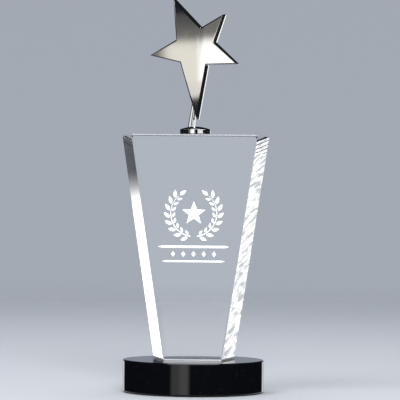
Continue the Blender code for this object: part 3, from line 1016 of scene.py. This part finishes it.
def make_socket_screw(steel):
    """The cap screw that draws the post down: thread, rounded head and hexagon socket."""
    low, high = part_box("post_screw")
    head_top = low.z + SCREW_HEAD_HEIGHT
    head = SCREW_RADIUS + SCREW_HEAD_RIM
    tip = SCREW_RADIUS / 3
    side = softened(
        ((head / 2, low.z), (head, low.z), (head, head_top), (SCREW_RADIUS, head_top)), tip / 2
    )
    rings = [[Vector((0, 0, low.z))]]
    rings += [ring(reach, height, THREAD_STEPS) for reach, height in side]
    rings += threaded(SCREW_RADIUS, SCREW_PITCH, head_top + FIT_GAP, high.z - tip)
    rings += [ring(SCREW_RADIUS - tip, high.z, THREAD_STEPS), [Vector((0, 0, high.z))]]
    screw = new_form("socket_screw", moved(skin(rings), TO_FIGURE @ AT_FOOT), (steel,))
    hexagon = pin(SCREW_HEX_RADIUS, low.z - FIT_GAP, low.z + SCREW_HEAD_HEIGHT * 0.6, 6)
    combine(screw, moved(hexagon, TO_FIGURE @ AT_FOOT))
    shade(screw)
    hand_in(screw, "post_screw")


def finish_washer(steel):
    """The split washer stays as the solid shows it, in the screws' finish."""
    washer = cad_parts["lock_washer"]
    washer.data.materials.clear()
    washer.data.materials.append(steel)


def grub_matrix():
    """From an upright pin to one that enters the lug squarely from behind."""
    middle = Matrix.Translation((0, 0, POST_LENGTH + FIT_GAP + SPIGOT_LENGTH / 2))
    return post_matrix() @ middle @ Matrix.Rotation(math.radians(-90), 4, "X")


def make_set_screw(steel):
    """The headless screw in the lug, threaded for its whole length."""
    inner = SPIGOT_RADIUS + HARDWARE_GAP
    outer = LUG_RADIUS - HARDWARE_GAP
    tip = GRUB_RADIUS / 3
    rings = [[Vector((0, 0, inner))], ring(GRUB_RADIUS - tip, inner, THREAD_STEPS)]
    rings += threaded(GRUB_RADIUS, GRUB_PITCH, inner + tip, outer - tip / 2)
    rings += [ring(GRUB_RADIUS - tip / 2, outer, THREAD_STEPS), [Vector((0, 0, outer))]]
    screw = new_form("set_screw", moved(skin(rings), TO_FIGURE @ grub_matrix()), (steel,))
    hexagon = pin(GRUB_HEX_RADIUS, (outer + inner) / 2, outer + HARDWARE_GAP, 6)
    combine(screw, moved(hexagon, TO_FIGURE @ grub_matrix()))
    shade(screw)
    hand_in(screw, "grub_screw")


# Star


def star_plan():
    """The solid star's front corners, anticlockwise in the figure's XZ plane, its hub and fold."""
    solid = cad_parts["star_figure"]
    from_figure = TO_FIGURE.inverted()
    points = [from_figure @ vert.co for vert in solid.data.vertices]
    front = min(point.y for point in points)
    near = [point for point in points if point.y - front < STAR_FRONT_DEPTH]
    corners = list({(round(p.x, 5), round(p.z, 5)): p.xz for p in near}.values())
    middle = sum(corners, Vector((0, 0))) / len(corners)
    corners.sort(key=lambda corner: math.atan2(corner.y - middle.y, corner.x - middle.x))
    notches = [corner for index, corner in enumerate(corners) if hollow(corners, index)]
    return {
        "corners": corners,
        "front": front,
        "hub": sum(notches, Vector((0, 0))) / len(notches),
        "fold_head": max(notches, key=lambda notch: notch.y),
        "fold_foot": min(corners, key=lambda corner: corner.y),
    }


def hollow(corners, index):
    """Whether the outline turns inward at this corner."""
    here = corners[index]
    before = here - corners[index - 1]
    after = corners[(index + 1) % len(corners)] - here
    return before.x * after.y - before.y * after.x < 0


def offset_corner(corners, index, grow):
    """The corner where its two sides meet once each has moved outward by grow."""
    here = corners[index]
    before = (here - corners[index - 1]).normalized()
    after = (corners[(index + 1) % len(corners)] - here).normalized()
    side_before = Vector((before.y, -before.x))
    side_after = Vector((after.y, -after.x))
    middle = (side_before + side_after).normalized()
    return here + middle * (grow / middle.dot(side_before))


def star_outline(corners, grow):
    """Points round the outline moved outward by grow, its tips and notches rounded."""
    count = len(corners)
    placed = [offset_corner(corners, index, grow) for index in range(count)]
    rounds = []
    for index, corner in enumerate(placed):
        radius = max(TIP_RADIUS - STAR_EDGE + grow, TIP_LEAST)
        if hollow(corners, index):
            radius = NOTCH_FILLET - grow
        after = placed[(index + 1) % count]
        rounds.append(arc(corner, placed[index - 1], after, radius, CORNER_STEPS))
    outline = []
    for index, points in enumerate(rounds):
        after = (index + 1) % count
        steps = round((corners[after] - corners[index]).length / SIDE_SPACING)
        outline += points
        outline += [points[-1].lerp(rounds[after][0], step / steps) for step in range(1, steps)]
    return outline


def face_rise(point, plan):
    """Y of the domed front at a point: right of the fold the face falls back a little more."""
    reach = (point - plan["hub"]).length
    height = plan["front"] + STAR_DOME_SINK
    height -= STAR_DOME * (1 - (reach / STAR_DOME_REACH) ** 2)
    fold = (plan["fold_foot"] - plan["fold_head"]).normalized()
    across = (point - plan["fold_head"]).dot(Vector((-fold.y, fold.x)))
    along = (point - plan["fold_head"]).dot(fold)
    share = min(max(along / FOLD_LENGTH, 0), 1)
    height += FOLD_SLOPE * (math.hypot(across, FOLD_WIDTH) + across - FOLD_WIDTH) / 2
    crease = math.exp(-((across / FOLD_WIDTH) ** 2))
    return height + FOLD_DEPTH * (1 - FOLD_FADE * share) * crease


def star_rings(plan):
    """Rings from the flat back, up the side, over the rolled edge and in to the hub."""
    back = plan["front"] + STAR_THICKNESS
    side_foot = back - STAR_BACK_RIM
    roll = STAR_EDGE + STAR_ROLL_IN
    levels = []
    for step in range(BACK_STEPS + 1):
        turn = math.pi / 2 * step / BACK_STEPS
        drop = STAR_BACK_RIM * (1 - math.cos(turn))
        levels.append((STAR_EDGE - STAR_BACK_RIM * (1 - math.sin(turn)), 0, back - drop, 0))
    for step in range(1, SIDE_STEPS):
        share = step / SIDE_STEPS
        swell = STAR_SIDE_SWELL * math.sin(math.pi * share)
        levels.append((STAR_EDGE + swell, share, side_foot * (1 - share), STAR_EDGE_DEPTH))
    for step in range(ROLL_STEPS + 1):
        turn = math.pi / 2 * step / ROLL_STEPS
        grow = STAR_EDGE - roll * (1 - math.cos(turn))
        levels.append((grow, 1, 0, STAR_EDGE_DEPTH * (1 - math.sin(turn))))
    rings = []
    for grow, share, rest, depth in levels:
        ring_points = []
        for spot in star_outline(plan["corners"], grow):
            y = rest + share * (face_rise(spot, plan) + depth)
            ring_points.append(Vector((spot.x, y, spot.y)))
        rings.append(ring_points)
    return rings


def face_rings(plan):
    """Rings of the domed face, from inside the rolled edge in to the hub."""
    hub = plan["hub"]
    inner = star_outline(plan["corners"], -STAR_ROLL_IN)
    rings = []
    for step in range(1, FACE_STEPS):
        spots = [hub + (point - hub) * (1 - step / FACE_STEPS) for point in inner]
        rings.append([Vector((spot.x, face_rise(spot, plan), spot.y)) for spot in spots])
    rings.append([Vector((hub.x, face_rise(hub, plan), hub.y))])
    return rings


def make_star(chrome):
    """The cast and polished star, with the bored lug on its back."""
    plan = star_plan()
    bm = bmesh.new()
    shapes = star_rings(plan) + face_rings(plan)
    rings = [[bm.verts.new(point) for point in points] for points in shapes]
    for lower, upper in zip(rings, rings[1:]):
        join_rings(bm, lower, upper)
    bm.faces.new(rings[0])
    star = new_form("cast_star", moved(bm, TO_FIGURE), (chrome,))
    lug_bottom = POST_LENGTH + FIT_GAP
    lug_top = lug_bottom + LUG_LENGTH
    corners = (
        (LUG_RADIUS / 2, lug_top + LUG_SOFTENING),
        (LUG_RADIUS - 2 * LUG_SOFTENING, lug_top + LUG_SOFTENING),
        (LUG_RADIUS, lug_top - LUG_SOFTENING),
        (LUG_RADIUS, lug_bottom),
        (LUG_RADIUS / 2, lug_bottom),
    )
    profile = [(0, corners[0][1]), *softened(corners, LUG_SOFTENING / 2), (0, lug_bottom)]
    to_post = TO_FIGURE @ post_matrix()
    combine(star, moved(turned(profile, SMALL_STEPS), to_post), "UNION")
    socket_top = POST_LENGTH + SPIGOT_LENGTH + FIT_GAP
    socket = pin(SPIGOT_RADIUS + HARDWARE_GAP, POST_LENGTH - FIT_GAP, socket_top)
    combine(star, moved(socket, to_post))
    hole = pin(GRUB_RADIUS + HARDWARE_GAP, 0, LUG_RADIUS * 2)
    combine(star, moved(hole, TO_FIGURE @ grub_matrix()))
    shade(star)
    hand_in(star, "star_figure")


# Studio


def soft_panel_group():
    """A mask for a lit panel, given in degrees of azimuth and elevation with soft sides."""
    inputs = [("Azimuth", 0.0), ("Elevation", 0.0), ("Left", -10.0), ("Right", 10.0)]
    inputs += [("Side blur", 1.0), ("Bottom", 0.0), ("Top", 10.0)]
    inputs += [("Bottom blur", 1.0), ("Top blur", 1.0)]
    group, given, result = new_group("soft_panel", inputs, ("Mask",))
    mask = None
    edges = (
        ("Azimuth", "Left", "Side blur", 1),
        ("Azimuth", "Right", "Side blur", -1),
        ("Elevation", "Bottom", "Bottom blur", 1),
        ("Elevation", "Top", "Top blur", -1),
    )
    for axis, edge, blur, side in edges:
        past = maths(group, "SUBTRACT", given[axis], given[edge])
        past = maths(group, "MULTIPLY", past, side)
        spread = maths(group, "MAXIMUM", given[blur], 0.01)
        part = remap(group, maths(group, "DIVIDE", past, spread), -0.5, 0.5, smooth=True)
        mask = part if mask is None else maths(group, "MULTIPLY", mask, part)
    group.links.new(mask, result["Mask"])
    return group


def panel_mask(tree, group, azimuth, elevation, sides):
    """The mask of one panel from its sides and blurs; returns the output."""
    left, right, blur, bottom, top, low_blur, high_blur = sides
    placed = place_group(
        tree,
        group,
        Azimuth=azimuth,
        Elevation=elevation,
        Left=left,
        Right=right,
        Side_blur=blur,
        Bottom=bottom,
        Top=top,
        Bottom_blur=low_blur,
        Top_blur=high_blur,
    )
    return placed["Mask"]


def add_panels(tree, group, colour, azimuth, elevation, panels):
    """Lay each panel over a colour; returns the new colour's output."""
    for *sides, tone in panels:
        mask = panel_mask(tree, group, azimuth, elevation, sides)
        colour = blend_colours(tree, mask, colour, tone)
    return colour


def streaked_tone(tree, azimuth, elevation):
    """White with slanting pale streaks, and a few dark lines at the top, as in cut crystal."""
    over = maths(tree, "MULTIPLY", azimuth, STREAK_ACROSS)
    rise = maths(tree, "MULTIPLY", elevation, STREAK_UP)
    across = maths(tree, "DIVIDE", maths(tree, "SUBTRACT", over, rise), STREAK_WIDTH)
    along = maths(tree, "DIVIDE", maths(tree, "ADD", over, rise), STREAK_LENGTH)
    place = add_node(tree, "ShaderNodeCombineXYZ")
    feed(tree, place, X=across, Y=along)
    streaks = remap(tree, blotches(tree, place.outputs[0], 1.0, 3.0, 0.6, 0.6), 0.46, 0.6)
    tone = blend_colours(tree, streaks, (1.75, 1.75, 1.7), (0.80, 0.84, 0.92))
    slant = maths(tree, "MULTIPLY_ADD", over, -0.5, rise)
    saw = maths(tree, "FRACT", maths(tree, "DIVIDE", slant, SAW_LINE_SPACING))
    line = maths(tree, "LESS_THAN", saw, SAW_LINE_WIDTH)
    high = maths(tree, "GREATER_THAN", elevation, SAW_LINES_FROM)
    return blend_colours(tree, maths(tree, "MULTIPLY", line, high), tone, (0.05, 0.05, 0.06))


def make_surroundings():
    """A pale backdrop, with soft lit panels that only reflections and the crystal pick up."""
    world = bpy.data.worlds.new("studio")
    bpy.context.scene.world = world
    world.use_nodes = True
    world.cycles.sampling_method = "NONE"
    tree = world.node_tree
    shader = tree.nodes["Background"]
    look = add_node(tree, "ShaderNodeSeparateXYZ")
    tree.links.new(add_node(tree, "ShaderNodeTexCoord").outputs["Generated"], look.inputs[0])
    across, depth, up = look.outputs
    elevation = maths(tree, "DEGREES", maths(tree, "ARCSINE", up))
    toward = maths(tree, "MULTIPLY", depth, -1)
    front = maths(tree, "DEGREES", maths(tree, "ARCTAN2", across, toward))
    rear = maths(tree, "DEGREES", maths(tree, "ARCTAN2", across, depth))
    rise = remap(tree, elevation, 0.0, 50.0, smooth=True)
    backdrop = blend_colours(tree, rise, BACKDROP_LOW, BACKDROP_HIGH)
    group = soft_panel_group()
    seen = add_panels(tree, group, ROOM_DARK, front, elevation, FRONT_PANELS)
    seen = add_panels(tree, group, seen, rear, elevation, REAR_PANELS)
    clear = blend_colours(tree, rise, THROUGH_LOW, THROUGH_HIGH)
    through = add_panels(tree, group, clear, rear, elevation, FAR_PANELS)
    streaked = panel_mask(tree, group, rear, elevation, STREAKED_PANEL)
    tone = streaked_tone(tree, rear, elevation)
    through = blend_colours(tree, streaked, through, tone)
    path = add_node(tree, "ShaderNodeLightPath").outputs
    colour = blend_colours(tree, path["Is Glossy Ray"], backdrop, seen)
    colour = blend_colours(tree, path["Is Transmission Ray"], colour, through)
    tree.links.new(colour, shader.inputs["Color"])


def floor_finish():
    """Matt pale paper that fades into the backdrop with distance."""
    finish, tree, shader = new_finish("pale_paper", Roughness=0.9, Specular_IOR_Level=0.1)
    place = surface_place(tree)
    grain = blotches(tree, place, 0.004, 4.0)
    tone = blend_colours(tree, grain, (0.60, 0.61, 0.63), (0.63, 0.64, 0.66))
    tree.links.new(tone, shader.inputs["Base Color"])
    reach = add_node(tree, "ShaderNodeVectorMath", operation="LENGTH")
    tree.links.new(place, reach.inputs[0])
    gone = remap(tree, reach.outputs["Value"], FLOOR_CLEAR, FLOOR_GONE, smooth=True)
    tree.links.new(maths(tree, "SUBTRACT", 1.0, gone), shader.inputs["Alpha"])
    return finish


def make_floor():
    """A wide round sheet of paper under the trophy, which polished faces don't show."""
    rings = [[Vector((0, 0, 0))]]
    rings += [ring(FLOOR_RADIUS * share, 0, 96) for share in (0.05, 0.2, 0.5, 1.0)]
    floor = new_form("floor", skin(rings), (floor_finish(),))
    floor.visible_glossy = False


def add_lamp(name, place, size, power):
    """A square soft lamp aimed at the trophy, which polished faces don't show."""
    lamp = bpy.data.lights.new(name, "AREA")
    lamp.size = size
    lamp.energy = power
    holder = bpy.data.objects.new(name, lamp)
    holder.location = place
    aim = LAMP_AIM - Vector(place)
    holder.rotation_euler = aim.to_track_quat("-Z", "Y").to_euler()
    holder.visible_glossy = False
    holder.visible_camera = False
    holder.visible_transmission = False
    bpy.context.scene.collection.objects.link(holder)


def make_camera():
    """The camera, level with the middle of the trophy, and plain colours."""
    camera = bpy.data.objects.new("camera", bpy.data.cameras.new("camera"))
    bpy.context.scene.collection.objects.link(camera)
    bpy.context.scene.camera = camera
    outward = Vector((math.sin(CAMERA_TURN), -math.cos(CAMERA_TURN), 0))
    sideways = Vector((math.cos(CAMERA_TURN), math.sin(CAMERA_TURN), 0))
    aim = sideways * AIM_ASIDE + Vector((0, 0, AIM_HEIGHT))
    camera.location = outward * CAMERA_DISTANCE + Vector((0, 0, CAMERA_HEIGHT))
    facing = (aim - camera.location).to_track_quat("-Z", "Y").to_matrix().to_4x4()
    level = Matrix.Rotation(CAMERA_ROLL, 4, "Z")
    camera.rotation_euler = (facing @ level).to_euler()
    camera.data.lens = CAMERA_LENS
    camera.data.sensor_width = SENSOR_WIDTH
    bpy.context.scene.view_settings.view_transform = "Standard"


def main():
    """Finish, make and light every piece."""
    groups = make_groups()
    mirror = plated_finish(groups, "mirror_chrome", (0.84, 0.85, 0.87), 0.03, 0.0000001)
    satin = plated_finish(groups, "star_chrome", (0.90, 0.89, 0.86), 0.065, 0.0000002)
    steel = steel_finish(groups)
    glue = glue_finish(groups)
    make_felt(felt_finish(groups))
    make_base(black_glass_finish(groups))
    make_block_glue(glue)
    make_block(crystal_finish(groups), frost_finish())
    make_disc_glue(glue)
    make_disc(mirror)
    make_post(mirror)
    make_socket_screw(steel)
    finish_washer(steel)
    make_star(satin)
    make_set_screw(steel)
    make_surroundings()
    make_floor()
    for lamp in LAMPS:
        add_lamp(*lamp)
    make_camera()


main()
